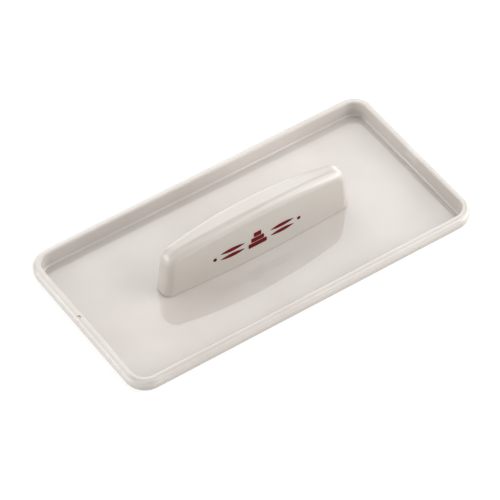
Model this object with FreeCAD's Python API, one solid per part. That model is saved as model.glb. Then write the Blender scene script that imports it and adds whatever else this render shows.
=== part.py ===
import FreeCAD, Part
import math
import os

# Icing smoother: a shallow tray-like plate with a hollow grip bonded along its centre.
# Origin at the centre of the smoothing face, +X along the plate, +Z up. Millimetres.

# --- smoothing plate -------------------------------------------------------
PLATE_LENGTH = 165.0
PLATE_WIDTH = 82.5
PLATE_HEIGHT = 7.8
PLATE_CORNER_RADIUS = 9.5
FLOOR_TOP = 1.4
UNDERSIDE_EDGE_RADIUS = 5.0
RIM_TOP_WIDTH = 3.4
RIM_OUTER_ROUND = 2.2
RIM_INNER_ROUND = 0.8
RECESS_DRAFT = 8.0
RECESS_COVE_RADIUS = 0.8

# --- gate mark on the rim at one short side --------------------------------
GATE_RADIUS = 0.9
GATE_DEPTH = 0.45
GATE_INSET = 1.6
GATE_OFFSET = 2.7

# --- grip, outer form ------------------------------------------------------
GRIP_HALF_LENGTH = 44.8
GRIP_HALF_WIDTH = 6.3
GRIP_BOW_RADIUS = 600.0
GRIP_CREST_Z = 26.8
GRIP_ARCH_RADIUS = 210.0
GRIP_END_ROUND = 7.0
GRIP_EDGE_ROUND = 3.7
GRIP_FOOT_ROUND = 0.4
GRIP_SIDE_DRAFT = 2.0
GRIP_END_DRAFT = 5.0

# --- grip, inside ----------------------------------------------------------
GRIP_WALL = 2.2
SMALLEST_CORNER_RADIUS = 0.4
CROSS_RIB_THICKNESS = 1.6
CROSS_RIB_POSITIONS = (-33.0, -11.0, 11.0, 33.0)
CROSS_RIB_FOOT_Z = 6.2
SOCKET_OUTER_RADIUS = 2.6
SOCKET_FOOT_Z = 5.2

# --- fixing of the grip to the plate ---------------------------------------
POST_POSITIONS = (-22.0, 22.0)
POST_RADIUS = 1.6
POST_TOP_Z = 16.2
POST_TIP_CHAMFER = 0.6
POST_CLEARANCE = 0.05
SOCKET_END_GAP = 1.0
FENCE_GAP = 0.9
FENCE_THICKNESS = 1.2
FENCE_TOP_Z = 4.2
BEAD_TOP_Z = 2.8

# --- printed ornament on the front of the grip -----------------------------
INK_THICKNESS = 0.08
ORNAMENT_CENTRE_X = -2.0
ORNAMENT_BASE_Z = 8.4
TIER_HALF_WIDTHS = (4.4, 3.1, 1.8)
TIER_HEIGHT = 2.3
TIER_GAP = 0.35
TIER_CORNER_RADIUS = 0.5
LEAF_START = 6.2
LEAF_LENGTH = 11.5
LEAF_HALF_HEIGHT = 0.95
LEAF_LEVELS = (1.6, 4.6)
DOT_OFFSET = 20.2
DOT_RADIUS = 0.85
DOT_LEVEL = 3.1

# --- construction helpers, never visible in the finished shape -------------
LEVEL_TOLERANCE = 0.05
RIM_SEARCH_MARGIN = 0.1
GRIP_HEAD_Z = GRIP_CREST_Z + 2.0
CAVITY_START_Z = FLOOR_TOP - 1.0
OVERSIZE_LENGTH = 3.0 * GRIP_HALF_LENGTH
OVERSIZE_WIDTH = 4.0 * GRIP_HALF_WIDTH


def vec(x, y, z=0.0):
    """Point or direction in millimetres."""
    return FreeCAD.Vector(x, y, z)


def rounded_rectangle(length, width, radius, z):
    """Closed wire of a rectangle with round corners, centred on the Z axis."""
    hx = length / 2.0
    hy = width / 2.0
    diagonal = radius * (1.0 - math.sqrt(0.5))
    edges = []
    corners = ((1, -1), (1, 1), (-1, 1), (-1, -1))
    for index, (sx, sy) in enumerate(corners):
        on_side = vec(sx * hx, sy * (hy - radius), z)
        on_end = vec(sx * (hx - radius), sy * hy, z)
        middle = vec(sx * (hx - diagonal), sy * (hy - diagonal), z)
        start, end = (on_end, on_side) if sx == -sy else (on_side, on_end)
        edges.append(Part.Arc(start, middle, end).toShape())
        nx, ny = corners[(index + 1) % 4]
        if nx == sx:
            following = vec(nx * hx, ny * (hy - radius), z)
        else:
            following = vec(nx * (hx - radius), ny * hy, z)
        edges.append(Part.makeLine(end, following))
    return Part.Wire(edges)


def edges_near_height(shape, z):
    """Edges lying entirely at one height."""
    chosen = []
    for edge in shape.Edges:
        box = edge.BoundBox
        if abs(box.ZMin - z) < LEVEL_TOLERANCE and abs(box.ZMax - z) < LEVEL_TOLERANCE:
            chosen.append(edge)
    return chosen


def plate_blank():
    """Full-height slab whose lower edge curls up so it cannot score the icing."""
    outline = rounded_rectangle(PLATE_LENGTH, PLATE_WIDTH, PLATE_CORNER_RADIUS, 0.0)
    slab = Part.Face(outline).extrude(vec(0, 0, PLATE_HEIGHT))
    slab = slab.makeFillet(UNDERSIDE_EDGE_RADIUS, edges_near_height(slab, 0.0))
    return slab.makeFillet(RIM_OUTER_ROUND, edges_near_height(slab, PLATE_HEIGHT))


def recess_outline(inset, z):
    """Outline of the plate moved inwards evenly."""
    return rounded_rectangle(
        PLATE_LENGTH - 2.0 * inset,
        PLATE_WIDTH - 2.0 * inset,
        PLATE_CORNER_RADIUS - inset,
        z,
    )


def plate_recess():
    """Tapered well inside the rim, slightly coved where its wall meets the floor."""
    depth = PLATE_HEIGHT - FLOOR_TOP
    taper = math.tan(math.radians(RECESS_DRAFT))
    top = recess_outline(RIM_TOP_WIDTH, PLATE_HEIGHT)
    bottom = recess_outline(RIM_TOP_WIDTH + depth * taper, FLOOR_TOP)
    well = Part.makeLoft([bottom, top], True, True)
    return well.makeFillet(RECESS_COVE_RADIUS, edges_near_height(well, FLOOR_TOP))


def inner_rim_edges(plate):
    """Edges where the recess breaks through the top of the rim."""
    inside_x = PLATE_LENGTH / 2.0 - RIM_TOP_WIDTH + RIM_SEARCH_MARGIN
    inside_y = PLATE_WIDTH / 2.0 - RIM_TOP_WIDTH + RIM_SEARCH_MARGIN
    chosen = []
    for edge in edges_near_height(plate, PLATE_HEIGHT):
        box = edge.BoundBox
        reach_x = max(abs(box.XMin), abs(box.XMax))
        reach_y = max(abs(box.YMin), abs(box.YMax))
        if reach_x < inside_x and reach_y < inside_y:
            chosen.append(edge)
    return chosen


def gate_mark():
    """Small round dimple left in the top of the rim at one short side."""
    foot = vec(GATE_INSET - PLATE_LENGTH / 2.0, GATE_OFFSET, PLATE_HEIGHT - GATE_DEPTH)
    return Part.makeCylinder(GATE_RADIUS, 2.0 * GATE_DEPTH, foot)


def bowed_side(facing, grow, foot_z, top_z):
    """Wide cone whose skin is one long side of the grip, leaning in by its draft."""
    lean = math.tan(math.radians(GRIP_SIDE_DRAFT))
    foot_radius = GRIP_BOW_RADIUS + grow - (foot_z - FLOOR_TOP) * lean
    head_radius = GRIP_BOW_RADIUS + grow - (top_z - FLOOR_TOP) * lean
    offset = GRIP_HALF_WIDTH - GRIP_BOW_RADIUS
    centre = vec(0, facing * offset, foot_z)
    return Part.makeCone(foot_radius, head_radius, top_z - foot_z, centre)


def leaning_ends(grow, foot_z, top_z):
    """Wedge whose two sloping faces are the ends of the grip."""
    lean = math.tan(math.radians(GRIP_END_DRAFT))
    foot_x = GRIP_HALF_LENGTH + grow - (foot_z - FLOOR_TOP) * lean
    head_x = GRIP_HALF_LENGTH + grow - (top_z - FLOOR_TOP) * lean
    y = -OVERSIZE_WIDTH / 2.0
    corners = [
        vec(-foot_x, y, foot_z),
        vec(foot_x, y, foot_z),
        vec(head_x, y, top_z),
        vec(-head_x, y, top_z),
        vec(-foot_x, y, foot_z),
    ]
    return Part.Face(Part.makePolygon(corners)).extrude(vec(0, OVERSIZE_WIDTH, 0))


def grip_block(grow, foot_z, top_z):
    """Barrel-shaped block with sloping sides and rounded upright corners."""
    block = leaning_ends(grow, foot_z, top_z)
    for facing in (-1, 1):
        block = block.common(bowed_side(facing, grow, foot_z, top_z))
    uprights = []
    for edge in block.Edges:
        if edge.BoundBox.ZLength > (top_z - foot_z) / 2.0:
            uprights.append(edge)
    radius = max(GRIP_EDGE_ROUND + grow, SMALLEST_CORNER_RADIUS)
    return block.makeFillet(radius, uprights)


def arched_profile(grow, foot_z):
    """Grip seen from the side, carried straight across: sloping ends and arched top."""
    y = -OVERSIZE_WIDTH / 2.0
    centre = vec(0, y, GRIP_CREST_Z - GRIP_ARCH_RADIUS)
    arch = Part.makeCylinder(GRIP_ARCH_RADIUS + grow, OVERSIZE_WIDTH, centre, vec(0, 1, 0))
    body = leaning_ends(grow, foot_z, GRIP_HEAD_Z).common(arch)
    shoulders = []
    for edge in body.Edges:
        box = edge.BoundBox
        if box.YLength > GRIP_HALF_WIDTH and box.ZMin > GRIP_CREST_Z / 2.0:
            shoulders.append(edge)
    return body.makeFillet(GRIP_END_ROUND + grow, shoulders)


def grip_body(grow, foot_z):
    """Solid grip form, grown or shrunk evenly by `grow`, all but its foot rounded."""
    body = arched_profile(grow, foot_z)
    for facing in (-1, 1):
        body = body.common(bowed_side(facing, grow, foot_z, GRIP_HEAD_Z))
    outline = []
    for edge in body.Edges:
        box = edge.BoundBox
        crosses = box.YLength > GRIP_HALF_WIDTH / 2.0
        if not crosses and box.ZMax > foot_z + LEVEL_TOLERANCE:
            outline.append(edge)
    return body.makeFillet(GRIP_EDGE_ROUND + grow, outline)


def cavity():
    """Hollow inside the grip, open at its foot."""
    return grip_body(-GRIP_WALL, CAVITY_START_Z)


def grip_stiffening(space):
    """Cross ribs and post sockets that hang from the roof of the grip."""
    features = []
    for x in CROSS_RIB_POSITIONS:
        corner = vec(x - CROSS_RIB_THICKNESS / 2.0, -OVERSIZE_WIDTH / 2.0, CROSS_RIB_FOOT_Z)
        features.append(Part.makeBox(CROSS_RIB_THICKNESS, OVERSIZE_WIDTH, GRIP_CREST_Z, corner))
    for x in POST_POSITIONS:
        foot = vec(x, 0, SOCKET_FOOT_Z)
        features.append(Part.makeCylinder(SOCKET_OUTER_RADIUS, GRIP_CREST_Z, foot))
    return features[0].multiFuse(features[1:]).common(space)


def socket_bores():
    """Blind holes in the sockets, a free fit over the posts."""
    radius = POST_RADIUS + POST_CLEARANCE
    height = POST_TOP_Z + SOCKET_END_GAP - FLOOR_TOP
    bores = [Part.makeCylinder(radius, height, vec(x, 0, FLOOR_TOP)) for x in POST_POSITIONS]
    return Part.makeCompound(bores)


def make_grip():
    """Hollow grip with its ribs and sockets."""
    outer = grip_body(0.0, FLOOR_TOP)
    outer = outer.makeFillet(GRIP_FOOT_ROUND, edges_near_height(outer, FLOOR_TOP))
    space = cavity()
    shell = outer.cut(space).fuse(grip_stiffening(space))
    return shell.cut(socket_bores()).removeSplitter()


def fence_form(gap):
    """Low block that fits inside the foot of the grip with a gap all round."""
    return grip_block(-GRIP_WALL - gap, FLOOR_TOP, FENCE_TOP_Z)


def locating_fence():
    """Low wall on the plate that centres the grip while the adhesive sets."""
    outer = fence_form(FENCE_GAP)
    inner = fence_form(FENCE_GAP + FENCE_THICKNESS)
    return outer.cut(inner)


def locating_posts():
    """Posts on the plate that enter the sockets of the grip."""
    posts = []
    for x in POST_POSITIONS:
        post = Part.makeCylinder(POST_RADIUS, POST_TOP_Z - FLOOR_TOP, vec(x, 0, FLOOR_TOP))
        tip = edges_near_height(post, POST_TOP_Z)
        posts.append(post.makeChamfer(POST_TIP_CHAMFER, tip))
    return posts


def make_plate():
    """Moulded tray plate with the fence and the posts on its floor."""
    plate = plate_blank().cut(plate_recess())
    plate = plate.makeFillet(RIM_INNER_ROUND, inner_rim_edges(plate))
    plate = plate.cut(gate_mark())
    return plate.fuse([locating_fence()] + locating_posts()).removeSplitter()


def make_bead():
    """Adhesive between the fence on the plate and the inside of the grip."""
    corner = vec(-OVERSIZE_LENGTH / 2.0, -OVERSIZE_WIDTH / 2.0, FLOOR_TOP)
    slab = Part.makeBox(OVERSIZE_LENGTH, OVERSIZE_WIDTH, BEAD_TOP_Z - FLOOR_TOP, corner)
    return slab.common(cavity()).cut(fence_form(FENCE_GAP))


def tier_outlines():
    """Stack of three rounded bars, widest at the bottom."""
    blocks = []
    for index, half in enumerate(TIER_HALF_WIDTHS):
        base = ORNAMENT_BASE_Z + index * (TIER_HEIGHT + TIER_GAP)
        corner = vec(ORNAMENT_CENTRE_X - half, -OVERSIZE_WIDTH / 2.0, base)
        bar = Part.makeBox(2.0 * half, OVERSIZE_WIDTH / 2.0, TIER_HEIGHT, corner)
        along = [edge for edge in bar.Edges if edge.BoundBox.YLength > GRIP_HALF_WIDTH]
        blocks.append(bar.makeFillet(TIER_CORNER_RADIUS, along))
    return blocks


def leaf_prism(side, level):
    """Pointed leaf drawn by two arcs, carried back into the grip."""
    y = -OVERSIZE_WIDTH / 2.0
    z = ORNAMENT_BASE_Z + level
    start = ORNAMENT_CENTRE_X + side * LEAF_START
    end = ORNAMENT_CENTRE_X + side * (LEAF_START + LEAF_LENGTH)
    middle = (start + end) / 2.0
    root = vec(start, y, z)
    tip = vec(end, y, z)
    upper = Part.Arc(root, vec(middle, y, z + LEAF_HALF_HEIGHT), tip).toShape()
    lower = Part.Arc(tip, vec(middle, y, z - LEAF_HALF_HEIGHT), root).toShape()
    return Part.Face(Part.Wire([upper, lower])).extrude(vec(0, -y, 0))


def dot_prism(side):
    """Round dot beyond the tips of the leaves, carried back into the grip."""
    y = -OVERSIZE_WIDTH / 2.0
    centre = vec(ORNAMENT_CENTRE_X + side * DOT_OFFSET, y, ORNAMENT_BASE_Z + DOT_LEVEL)
    return Part.makeCylinder(DOT_RADIUS, -y, centre, vec(0, 1, 0))


def make_ornament():
    """Thin ink film that follows the front face of the grip."""
    prisms = tier_outlines()
    for side in (-1, 1):
        prisms.append(dot_prism(side))
        for level in LEAF_LEVELS:
            prisms.append(leaf_prism(side, level))
    film = grip_block(INK_THICKNESS, FLOOR_TOP, GRIP_CREST_Z)
    skin = film.cut(grip_block(0.0, FLOOR_TOP, GRIP_CREST_Z))
    return Part.makeCompound([prism.common(skin) for prism in prisms])


def main():
    """Build every node and write one STEP file for each."""
    os.makedirs("parts", exist_ok=True)
    nodes = {
        "smoothing_plate": make_plate(),
        "grip_shell": make_grip(),
        "adhesive_bead": make_bead(),
        "printed_ornament": make_ornament(),
    }
    for name, shape in nodes.items():
        shape.exportStep(os.path.join("parts", name + ".step"))


main()
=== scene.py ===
import math

import bpy
from mathutils import Matrix, Vector

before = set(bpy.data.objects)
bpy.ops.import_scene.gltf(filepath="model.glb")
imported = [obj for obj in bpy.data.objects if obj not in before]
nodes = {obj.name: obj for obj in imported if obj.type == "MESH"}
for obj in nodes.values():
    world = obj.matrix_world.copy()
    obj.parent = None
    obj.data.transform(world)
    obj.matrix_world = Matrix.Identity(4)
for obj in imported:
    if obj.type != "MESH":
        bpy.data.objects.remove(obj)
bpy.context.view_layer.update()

# --- camera -----------------------------------------------------------------
CAMERA_AZIMUTH = -35.124
CAMERA_ELEVATION = 48.197
CAMERA_ROLL = 0.485
CAMERA_AIM = (-0.001226, -0.001101)
CAMERA_DISTANCE = 1.3487
CAMERA_LENS = 242.06
SENSOR_WIDTH = 36.0
CLIP_NEAR = 0.05
CLIP_FAR = 20.0

# --- lights -----------------------------------------------------------------
# A light tent: wide soft boxes all round, the brightest ones low at the sides.
# name, azimuth (0 = behind the object, 90 = right), elevation, width, height, brightness
LIGHT_DISTANCE = 1.2
SOFT_BOXES = (
    ("right_front_low", 125.0, 15.0, 0.8, 0.6, 5.8),
    ("right_low", 80.0, 15.0, 1.2, 0.6, 3.2),
    ("right_high", 115.0, 42.0, 0.8, 0.7, 3.4),
    ("left_low", 285.0, 15.0, 1.2, 0.6, 4.5),
    ("back_low", 10.0, 13.0, 1.0, 0.5, 2.8),
    ("back_high", 25.0, 46.0, 0.9, 0.8, 2.6),
    ("back_left_high", 330.0, 42.0, 0.8, 0.7, 2.0),
    ("front_left", 235.0, 35.0, 0.8, 0.8, 2.0),
    ("front_right", 155.0, 35.0, 0.6, 0.9, 2.0),
    ("front_high", 195.0, 72.0, 0.6, 0.5, 1.3),
)
AMBIENT = 0.0

# --- colours, linear --------------------------------------------------------
PLATE_LIGHT = (0.535, 0.50, 0.47)
PLATE_DARK = (0.495, 0.455, 0.42)
# painted shade: the plate's colour where its faces turn sideways and under
PLATE_PAINTED_SHADE = (0.38, 0.34, 0.29)
GRIP_LIGHT = (0.505, 0.475, 0.44)
GRIP_DARK = (0.48, 0.445, 0.405)
# painted shade: the grip's colour where its faces turn sideways and under
GRIP_PAINTED_SHADE = (0.44, 0.40, 0.355)
SCAR = (0.60, 0.57, 0.54)
INK_LIGHT = (0.130, 0.004, 0.006)
INK_DARK = (0.095, 0.002, 0.004)
GLUE_LIGHT = (0.66, 0.58, 0.42)
GLUE_DARK = (0.52, 0.43, 0.28)
PAPER = (0.25, 0.25, 0.25)
PAPER_GLOW = 0.8

# --- surfaces, lengths in metres, noise scales in features per metre ---------
PAPER_SIZE = 6.0
PAPER_ROUGHNESS = 0.9
PLASTIC_IOR = 1.56
PLATE_ROUGHNESS = (0.02, 0.05)
GRIP_ROUGHNESS = (0.16, 0.22)
RIM_WEAR_FROM = 0.0016
RIM_WEAR_FULL = 0.0038
RIM_WEAR_ROUGHNESS = 0.12
SCUFF_ROUGHNESS = 0.03
SCUFF_STRETCH = (1.0, 9.0, 4.0)
WAVINESS_HEIGHT = 0.00006
GRAIN_HEIGHT = 0.0000012
GATE_SCAR_CENTRE = (0.0805, 0.0, 0.0078)
GATE_SCAR_RADIUS = 0.006
GATE_SCAR_HEIGHT = 0.00002
INK_ROUGHNESS = (0.32, 0.45)
INK_SPECULAR = 0.08
INK_HEIGHT = 0.000008
GLUE_ROUGHNESS = (0.32, 0.5)
GLUE_HEIGHT = 0.00004


# --- camera, lights and stage -----------------------------------------------
def add_camera():
    """Long lens looking down over the front left corner of the plate."""
    az = math.radians(CAMERA_AZIMUTH)
    el = math.radians(CAMERA_ELEVATION)
    roll = math.radians(CAMERA_ROLL)
    level = math.cos(el)
    back = Vector((math.sin(az) * level, -math.cos(az) * level, math.sin(el)))
    level_right = Vector((math.cos(az), math.sin(az), 0.0))
    level_up = back.cross(level_right)
    right = level_right * math.cos(roll) + level_up * math.sin(roll)
    up = level_up * math.cos(roll) - level_right * math.sin(roll)
    place = right * CAMERA_AIM[0] + up * CAMERA_AIM[1] + back * CAMERA_DISTANCE
    data = bpy.data.cameras.new("camera")
    data.lens = CAMERA_LENS
    data.sensor_width = SENSOR_WIDTH
    data.clip_start = CLIP_NEAR
    data.clip_end = CLIP_FAR
    camera = bpy.data.objects.new("camera", data)
    turn = Matrix((right, up, back)).transposed().to_4x4()
    camera.matrix_world = Matrix.Translation(place) @ turn
    bpy.context.scene.collection.objects.link(camera)
    bpy.context.scene.camera = camera


def add_soft_box(name, azimuth, elevation, width, height, brightness):
    """Rectangular light aimed at the middle of the object."""
    az = math.radians(azimuth)
    el = math.radians(elevation)
    level = math.cos(el)
    direction = Vector((math.sin(az) * level, math.cos(az) * level, math.sin(el)))
    data = bpy.data.lights.new(name, "AREA")
    data.shape = "RECTANGLE"
    data.size = width
    data.size_y = height
    data.energy = brightness * math.pi * width * height
    light = bpy.data.objects.new(name, data)
    light.rotation_euler = direction.to_track_quat("Z", "Y").to_euler()
    light.location = direction * LIGHT_DISTANCE
    bpy.context.scene.collection.objects.link(light)


def set_ambient(strength):
    """Even light from everywhere; at 0 the soft boxes and the paper do all the lighting."""
    world = bpy.data.worlds.new("studio")
    world.use_nodes = True
    background = world.node_tree.nodes["Background"]
    background.inputs["Color"].default_value = (1.0, 1.0, 1.0, 1.0)
    background.inputs["Strength"].default_value = strength
    bpy.context.scene.world = world


def add_paper():
    """White paper the object stands on, glowing enough to hide its shadow."""
    bpy.ops.mesh.primitive_plane_add(size=PAPER_SIZE, location=(0.0, 0.0, 0.0))
    paper = bpy.context.object
    paper.name = "paper"
    material = bpy.data.materials.new("paper")
    material.use_nodes = True
    shader = material.node_tree.nodes["Principled BSDF"]
    shader.inputs["Base Color"].default_value = (*PAPER, 1.0)
    shader.inputs["Roughness"].default_value = PAPER_ROUGHNESS
    shader.inputs["Specular IOR Level"].default_value = 0.0
    shader.inputs["Emission Color"].default_value = (1.0, 1.0, 1.0, 1.0)
    shader.inputs["Emission Strength"].default_value = PAPER_GLOW
    paper.data.materials.append(material)


# --- materials --------------------------------------------------------------
class Surface:
    """One procedural material built around a Principled shader."""

    def __init__(self, name):
        self.material = bpy.data.materials.new(name)
        self.material.use_nodes = True
        self.tree = self.material.node_tree
        self.shader = self.tree.nodes["Principled BSDF"]
        self.place = self.tree.nodes.new("ShaderNodeTexCoord").outputs["Object"]

    def link(self, output, socket):
        self.tree.links.new(output, socket)

    def noise(self, scale, detail=3.0, stretch=(1.0, 1.0, 1.0)):
        """Noise value; scale is in features per metre."""
        mapping = self.tree.nodes.new("ShaderNodeMapping")
        mapping.inputs["Scale"].default_value = stretch
        self.link(self.place, mapping.inputs["Vector"])
        texture = self.tree.nodes.new("ShaderNodeTexNoise")
        texture.inputs["Scale"].default_value = scale
        texture.inputs["Detail"].default_value = detail
        self.link(mapping.outputs["Vector"], texture.inputs["Vector"])
        return texture.outputs["Fac"]

    def ramp(self, value, low, high, start, end):
        """Map value low..high to start..end, clamped."""
        node = self.tree.nodes.new("ShaderNodeMapRange")
        node.inputs["From Min"].default_value = low
        node.inputs["From Max"].default_value = high
        node.inputs["To Min"].default_value = start
        node.inputs["To Max"].default_value = end
        self.link(value, node.inputs["Value"])
        return node.outputs["Result"]

    def mix(self, factor, first, second):
        """Blend two colours; each is a fixed colour or another node's output."""
        node = self.tree.nodes.new("ShaderNodeMix")
        node.data_type = "RGBA"
        self.link(factor, node.inputs["Factor"])
        for socket, colour in ((node.inputs[6], first), (node.inputs[7], second)):
            if isinstance(colour, tuple):
                socket.default_value = (*colour, 1.0)
            else:
                self.link(colour, socket)
        return node.outputs[2]

    def combine(self, operation, first, second):
        """Math on two values."""
        node = self.tree.nodes.new("ShaderNodeMath")
        node.operation = operation
        self.link(first, node.inputs[0])
        self.link(second, node.inputs[1])
        return node.outputs["Value"]

    def height(self, low, high, start, end):
        """Map height above the table low..high to start..end."""
        split = self.tree.nodes.new("ShaderNodeSeparateXYZ")
        self.link(self.place, split.inputs["Vector"])
        return self.ramp(split.outputs["Z"], low, high, start, end)

    def leaning(self, start, end):
        """Value `start` where the surface faces up, `end` where it turns under."""
        coordinates = self.tree.nodes.new("ShaderNodeTexCoord")
        split = self.tree.nodes.new("ShaderNodeSeparateXYZ")
        self.link(coordinates.outputs["Normal"], split.inputs["Vector"])
        return self.ramp(split.outputs["Z"], 0.15, -0.3, start, end)

    def near(self, centre, radius):
        """Value 1 at a point of the object, falling to 0 at the radius."""
        distance = self.tree.nodes.new("ShaderNodeVectorMath")
        distance.operation = "DISTANCE"
        distance.inputs[1].default_value = centre
        self.link(self.place, distance.inputs[0])
        return self.ramp(distance.outputs["Value"], radius * 0.5, radius, 1.0, 0.0)

    def bump(self, height, distance):
        """Raise the surface by height times distance, on top of any earlier bump."""
        node = self.tree.nodes.new("ShaderNodeBump")
        node.inputs["Distance"].default_value = distance
        self.link(height, node.inputs["Height"])
        normal = self.shader.inputs["Normal"]
        if normal.is_linked:
            self.link(normal.links[0].from_socket, node.inputs["Normal"])
        self.link(node.outputs["Normal"], normal)


def moulded_plastic(name, light, dark, under, roughness_range):
    """Glossy cream plastic: cloudy tint, painted shade where faces turn under, slight waviness,
    fine scuffs.
    """
    surface = Surface(name)
    shader = surface.shader
    clouds = surface.ramp(surface.noise(26.0), 0.35, 0.65, 0.0, 1.0)
    tint = surface.mix(clouds, dark, light)
    # painted shade: blend towards the shade colour as the surface turns from facing up to
    # sideways and under
    tint = surface.mix(surface.leaning(0.0, 1.0), tint, under)
    surface.link(tint, shader.inputs["Base Color"])
    haze = surface.ramp(surface.noise(90.0, 5.0), 0.3, 0.7, *roughness_range)
    scratches = surface.noise(60.0, 6.0, SCUFF_STRETCH)
    scuffs = surface.ramp(scratches, 0.62, 0.78, 0.0, SCUFF_ROUGHNESS)
    roughness = surface.combine("ADD", haze, scuffs)
    surface.link(roughness, shader.inputs["Roughness"])
    shader.inputs["IOR"].default_value = PLASTIC_IOR
    surface.bump(surface.noise(45.0, 1.0), WAVINESS_HEIGHT)
    surface.bump(surface.noise(2500.0, 2.0), GRAIN_HEIGHT)
    return surface


def plate_plastic():
    """Mirror-smooth floor, rim dulled by handling, a pale gate scar on the right rim."""
    surface = moulded_plastic(
        "plate_plastic", PLATE_LIGHT, PLATE_DARK, PLATE_PAINTED_SHADE, PLATE_ROUGHNESS
    )
    shader = surface.shader
    polish = shader.inputs["Roughness"].links[0].from_socket
    handling = surface.height(RIM_WEAR_FROM, RIM_WEAR_FULL, 0.0, RIM_WEAR_ROUGHNESS)
    surface.link(surface.combine("ADD", polish, handling), shader.inputs["Roughness"])
    patch = surface.near(GATE_SCAR_CENTRE, GATE_SCAR_RADIUS)
    rough_patch = surface.combine("MULTIPLY", patch, surface.noise(900.0, 3.0))
    base = shader.inputs["Base Color"].links[0].from_socket
    surface.link(surface.mix(rough_patch, base, SCAR), shader.inputs["Base Color"])
    surface.bump(rough_patch, GATE_SCAR_HEIGHT)
    return surface.material


def grip_plastic():
    """The plate's plastic with a more satin finish."""
    surface = moulded_plastic("grip_plastic", GRIP_LIGHT, GRIP_DARK, GRIP_PAINTED_SHADE, GRIP_ROUGHNESS)
    return surface.material


def printing_ink():
    """Dark red ink, slightly uneven and duller than the plastic."""
    surface = Surface("ink")
    shader = surface.shader
    blotches = surface.ramp(surface.noise(700.0, 4.0), 0.3, 0.7, 0.0, 1.0)
    surface.link(surface.mix(blotches, INK_DARK, INK_LIGHT), shader.inputs["Base Color"])
    dull = surface.ramp(surface.noise(1500.0), 0.3, 0.7, *INK_ROUGHNESS)
    surface.link(dull, shader.inputs["Roughness"])
    shader.inputs["Specular IOR Level"].default_value = INK_SPECULAR
    surface.bump(surface.noise(4000.0, 2.0), INK_HEIGHT)
    return surface.material


def cured_glue():
    """Amber adhesive, cloudy and slightly lumpy."""
    surface = Surface("adhesive")
    shader = surface.shader
    flow = surface.ramp(surface.noise(220.0), 0.3, 0.7, 0.0, 1.0)
    surface.link(surface.mix(flow, GLUE_DARK, GLUE_LIGHT), shader.inputs["Base Color"])
    gloss = surface.ramp(surface.noise(500.0), 0.3, 0.7, *GLUE_ROUGHNESS)
    surface.link(gloss, shader.inputs["Roughness"])
    surface.bump(surface.noise(900.0, 2.0), GLUE_HEIGHT)
    return surface.material


def dress(node, material):
    """Give a piece its only material."""
    node.data.materials.clear()
    node.data.materials.append(material)


dress(nodes["smoothing_plate"], plate_plastic())
dress(nodes["grip_shell"], grip_plastic())
dress(nodes["printed_ornament"], printing_ink())
dress(nodes["adhesive_bead"], cured_glue())

add_camera()
for soft_box in SOFT_BOXES:
    add_soft_box(*soft_box)
set_ambient(AMBIENT)
add_paper()
bpy.context.scene.view_settings.view_transform = "Standard"
